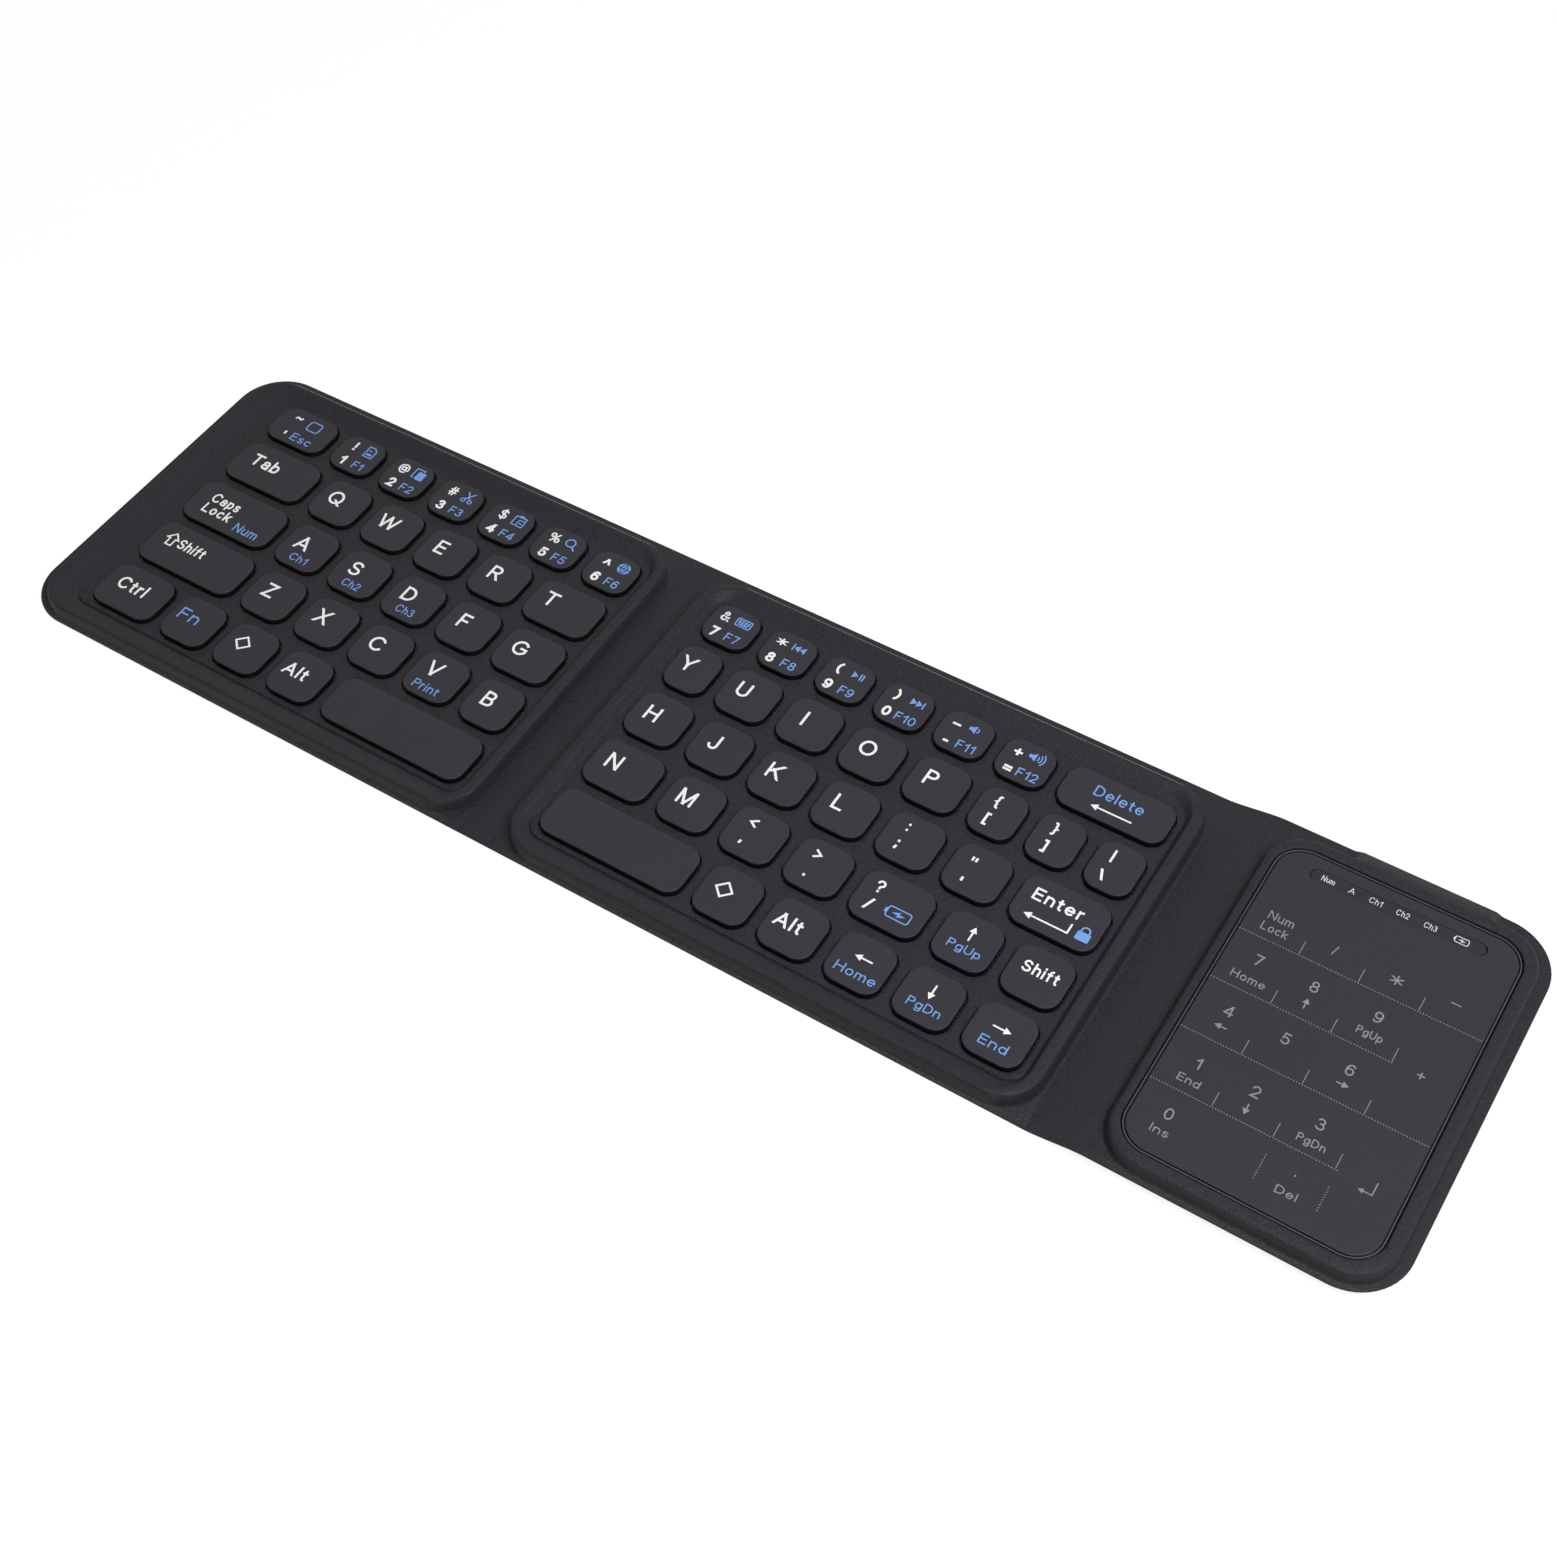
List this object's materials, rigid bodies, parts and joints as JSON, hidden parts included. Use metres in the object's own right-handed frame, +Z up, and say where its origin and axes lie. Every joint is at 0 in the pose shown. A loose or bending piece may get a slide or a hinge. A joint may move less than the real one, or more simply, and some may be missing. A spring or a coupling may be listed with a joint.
{
  "type": "folding keyboard",
  "caption": "Slim leather-covered keyboard in three panels that fold over one another, with a touch number pad on the end panel.",
  "frame": {"origin": "centre of the open keyboard's bounding box, on the table", "axes": "+X along the keyboard towards the touch panel, +Y from the front edge to the back edge, +Z up"},
  "size_m": [0.3638, 0.0996, 0.006],
  "materials": {
    "leather": "fine grain, low sheen",
    "keycap": "fine matte with printed legends",
    "steel_plate": "stamped",
    "film": "polyester film",
    "dome_rubber": "silicone",
    "lift_plastic": "moulded",
    "magnet": "nickel plated",
    "flex": "polyimide film",
    "battery_pouch": "foil pouch",
    "lead": "insulated wire",
    "circuit_board": "solder resist",
    "socket_steel": "stamped shell",
    "lamp": "clear",
    "window": "smoked",
    "trim": "moulded",
    "pad": "hard coated, satin"
  },
  "bodies": {
    "middle_panel": {"middle_outer_skin": "leather", "middle_base_plate": "steel_plate", "middle_key_membrane": "film", "middle_rubber_domes": "dome_rubber", "middle_scissor_lifts": "lift_plastic", "middle_top_cover": "leather"},
    "left_spine": {"left_spine_outer_skin": "leather", "left_spine_flex_cable": "flex", "left_spine_inner_skin": "leather"},
    "left_panel": {"left_outer_skin": "leather", "left_base_plate": "steel_plate", "left_key_membrane": "film", "left_rubber_domes": "dome_rubber", "left_scissor_lifts": "lift_plastic", "left_top_cover": "leather", "left_closing_magnets": "magnet"},
    "right_spine": {"right_spine_outer_skin": "leather", "right_spine_flex_cable": "flex", "right_spine_inner_skin": "leather"},
    "touch_panel": {"touch_bottom_tray": "leather", "battery": "battery_pouch", "main_board": "circuit_board", "usb_c_socket": "socket_steel", "touch_top_cover": "leather", "touch_sensor_board": "circuit_board", "indicator_lamps": "lamp", "indicator_window": "window", "touch_pad_trim": "trim", "touch_pad_plate": "pad", "touch_closing_magnets": "magnet", "board_flex_cable": "flex", "battery_leads": "lead"},
    "escape_key": {"escape_key": "keycap"},
    "left_number_keys": {"left_number_keys": "keycap"},
    "tab_key": {"tab_key": "keycap"},
    "left_upper_letter_keys": {"left_upper_letter_keys": "keycap"},
    "caps_lock_key": {"caps_lock_key": "keycap"},
    "left_home_letter_keys": {"left_home_letter_keys": "keycap"},
    "left_shift_key": {"left_shift_key": "keycap"},
    "left_lower_letter_keys": {"left_lower_letter_keys": "keycap"},
    "control_key": {"control_key": "keycap"},
    "function_key": {"function_key": "keycap"},
    "left_option_keys": {"left_option_keys": "keycap"},
    "left_space_key": {"left_space_key": "keycap"},
    "right_number_keys": {"right_number_keys": "keycap"},
    "delete_key": {"delete_key": "keycap"},
    "right_upper_letter_keys": {"right_upper_letter_keys": "keycap"},
    "bracket_keys": {"bracket_keys": "keycap"},
    "right_home_letter_keys": {"right_home_letter_keys": "keycap"},
    "enter_key": {"enter_key": "keycap"},
    "right_lower_letter_keys": {"right_lower_letter_keys": "keycap"},
    "arrow_up_key": {"arrow_up_key": "keycap"},
    "right_shift_key": {"right_shift_key": "keycap"},
    "right_space_key": {"right_space_key": "keycap"},
    "right_option_keys": {"right_option_keys": "keycap"},
    "arrow_left_key": {"arrow_left_key": "keycap"},
    "arrow_down_key": {"arrow_down_key": "keycap"},
    "arrow_right_key": {"arrow_right_key": "keycap"}
  },
  "joints": [
    {"name": "left_spine_fold", "type": "hinge", "parent": "middle_panel", "child": "left_spine", "pos_m": [-0.0355, 0, 0.0009], "axis": [0, 1, 0], "range_deg": [0, 90]},
    {"name": "left_panel_fold", "type": "hinge", "parent": "left_spine", "child": "left_panel", "pos_m": [-0.0441, 0, 0.0009], "axis": [0, 1, 0], "range_deg": [0, 90]},
    {"name": "right_spine_fold", "type": "hinge", "parent": "middle_panel", "child": "right_spine", "pos_m": [0.1029, 0, 0.0009], "axis": [0, -1, 0], "range_deg": [0, 81.25]},
    {"name": "touch_panel_fold", "type": "hinge", "parent": "right_spine", "child": "touch_panel", "pos_m": [0.1159, 0, 0.0029], "axis": [0, -1, 0], "range_deg": [0, 98.75]},
    {"name": "escape_press", "type": "slide", "parent": "left_panel", "child": "escape_key", "axis": [0, 0, -1], "range_m": [0, 0.0011], "stiffness_N_per_m": 300, "springref_m": -0.0005, "deforming": ["left_rubber_domes", "left_scissor_lifts"]},
    {"name": "left_number_press", "type": "slide", "parent": "left_panel", "child": "left_number_keys", "axis": [0, 0, -1], "range_m": [0, 0.0011], "stiffness_N_per_m": 300, "springref_m": -0.0005, "deforming": ["left_rubber_domes", "left_scissor_lifts"]},
    {"name": "tab_press", "type": "slide", "parent": "left_panel", "child": "tab_key", "axis": [0, 0, -1], "range_m": [0, 0.0011], "stiffness_N_per_m": 300, "springref_m": -0.0005, "deforming": ["left_rubber_domes", "left_scissor_lifts"]},
    {"name": "left_upper_letter_press", "type": "slide", "parent": "left_panel", "child": "left_upper_letter_keys", "axis": [0, 0, -1], "range_m": [0, 0.0011], "stiffness_N_per_m": 300, "springref_m": -0.0005, "deforming": ["left_rubber_domes", "left_scissor_lifts"]},
    {"name": "caps_lock_press", "type": "slide", "parent": "left_panel", "child": "caps_lock_key", "axis": [0, 0, -1], "range_m": [0, 0.0011], "stiffness_N_per_m": 300, "springref_m": -0.0005, "deforming": ["left_rubber_domes", "left_scissor_lifts"]},
    {"name": "left_home_letter_press", "type": "slide", "parent": "left_panel", "child": "left_home_letter_keys", "axis": [0, 0, -1], "range_m": [0, 0.0011], "stiffness_N_per_m": 300, "springref_m": -0.0005, "deforming": ["left_rubber_domes", "left_scissor_lifts"]},
    {"name": "left_shift_press", "type": "slide", "parent": "left_panel", "child": "left_shift_key", "axis": [0, 0, -1], "range_m": [0, 0.0011], "stiffness_N_per_m": 300, "springref_m": -0.0005, "deforming": ["left_rubber_domes", "left_scissor_lifts"]},
    {"name": "left_lower_letter_press", "type": "slide", "parent": "left_panel", "child": "left_lower_letter_keys", "axis": [0, 0, -1], "range_m": [0, 0.0011], "stiffness_N_per_m": 300, "springref_m": -0.0005, "deforming": ["left_rubber_domes", "left_scissor_lifts"]},
    {"name": "control_press", "type": "slide", "parent": "left_panel", "child": "control_key", "axis": [0, 0, -1], "range_m": [0, 0.0011], "stiffness_N_per_m": 300, "springref_m": -0.0005, "deforming": ["left_rubber_domes", "left_scissor_lifts"]},
    {"name": "function_press", "type": "slide", "parent": "left_panel", "child": "function_key", "axis": [0, 0, -1], "range_m": [0, 0.0011], "stiffness_N_per_m": 300, "springref_m": -0.0005, "deforming": ["left_rubber_domes", "left_scissor_lifts"]},
    {"name": "left_option_press", "type": "slide", "parent": "left_panel", "child": "left_option_keys", "axis": [0, 0, -1], "range_m": [0, 0.0011], "stiffness_N_per_m": 300, "springref_m": -0.0005, "deforming": ["left_rubber_domes", "left_scissor_lifts"]},
    {"name": "left_space_press", "type": "slide", "parent": "left_panel", "child": "left_space_key", "axis": [0, 0, -1], "range_m": [0, 0.0011], "stiffness_N_per_m": 300, "springref_m": -0.0005, "deforming": ["left_rubber_domes", "left_scissor_lifts"]},
    {"name": "right_number_press", "type": "slide", "parent": "middle_panel", "child": "right_number_keys", "axis": [0, 0, -1], "range_m": [0, 0.0011], "stiffness_N_per_m": 300, "springref_m": -0.0005, "deforming": ["middle_rubber_domes", "middle_scissor_lifts"]},
    {"name": "delete_press", "type": "slide", "parent": "middle_panel", "child": "delete_key", "axis": [0, 0, -1], "range_m": [0, 0.0011], "stiffness_N_per_m": 300, "springref_m": -0.0005, "deforming": ["middle_rubber_domes", "middle_scissor_lifts"]},
    {"name": "right_upper_letter_press", "type": "slide", "parent": "middle_panel", "child": "right_upper_letter_keys", "axis": [0, 0, -1], "range_m": [0, 0.0011], "stiffness_N_per_m": 300, "springref_m": -0.0005, "deforming": ["middle_rubber_domes", "middle_scissor_lifts"]},
    {"name": "bracket_press", "type": "slide", "parent": "middle_panel", "child": "bracket_keys", "axis": [0, 0, -1], "range_m": [0, 0.0011], "stiffness_N_per_m": 300, "springref_m": -0.0005, "deforming": ["middle_rubber_domes", "middle_scissor_lifts"]},
    {"name": "right_home_letter_press", "type": "slide", "parent": "middle_panel", "child": "right_home_letter_keys", "axis": [0, 0, -1], "range_m": [0, 0.0011], "stiffness_N_per_m": 300, "springref_m": -0.0005, "deforming": ["middle_rubber_domes", "middle_scissor_lifts"]},
    {"name": "enter_press", "type": "slide", "parent": "middle_panel", "child": "enter_key", "axis": [0, 0, -1], "range_m": [0, 0.0011], "stiffness_N_per_m": 300, "springref_m": -0.0005, "deforming": ["middle_rubber_domes", "middle_scissor_lifts"]},
    {"name": "right_lower_letter_press", "type": "slide", "parent": "middle_panel", "child": "right_lower_letter_keys", "axis": [0, 0, -1], "range_m": [0, 0.0011], "stiffness_N_per_m": 300, "springref_m": -0.0005, "deforming": ["middle_rubber_domes", "middle_scissor_lifts"]},
    {"name": "arrow_up_press", "type": "slide", "parent": "middle_panel", "child": "arrow_up_key", "axis": [0, 0, -1], "range_m": [0, 0.0011], "stiffness_N_per_m": 300, "springref_m": -0.0005, "deforming": ["middle_rubber_domes", "middle_scissor_lifts"]},
    {"name": "right_shift_press", "type": "slide", "parent": "middle_panel", "child": "right_shift_key", "axis": [0, 0, -1], "range_m": [0, 0.0011], "stiffness_N_per_m": 300, "springref_m": -0.0005, "deforming": ["middle_rubber_domes", "middle_scissor_lifts"]},
    {"name": "right_space_press", "type": "slide", "parent": "middle_panel", "child": "right_space_key", "axis": [0, 0, -1], "range_m": [0, 0.0011], "stiffness_N_per_m": 300, "springref_m": -0.0005, "deforming": ["middle_rubber_domes", "middle_scissor_lifts"]},
    {"name": "right_option_press", "type": "slide", "parent": "middle_panel", "child": "right_option_keys", "axis": [0, 0, -1], "range_m": [0, 0.0011], "stiffness_N_per_m": 300, "springref_m": -0.0005, "deforming": ["middle_rubber_domes", "middle_scissor_lifts"]},
    {"name": "arrow_left_press", "type": "slide", "parent": "middle_panel", "child": "arrow_left_key", "axis": [0, 0, -1], "range_m": [0, 0.0011], "stiffness_N_per_m": 300, "springref_m": -0.0005, "deforming": ["middle_rubber_domes", "middle_scissor_lifts"]},
    {"name": "arrow_down_press", "type": "slide", "parent": "middle_panel", "child": "arrow_down_key", "axis": [0, 0, -1], "range_m": [0, 0.0011], "stiffness_N_per_m": 300, "springref_m": -0.0005, "deforming": ["middle_rubber_domes", "middle_scissor_lifts"]},
    {"name": "arrow_right_press", "type": "slide", "parent": "middle_panel", "child": "arrow_right_key", "axis": [0, 0, -1], "range_m": [0, 0.0011], "stiffness_N_per_m": 300, "springref_m": -0.0005, "deforming": ["middle_rubber_domes", "middle_scissor_lifts"]}
  ],
  "couplings": [
    {"joint": "left_panel_fold", "follows": "left_spine_fold", "ratio": 1},
    {"joint": "touch_panel_fold", "follows": "right_spine_fold", "ratio": 1.2153}
  ]
}
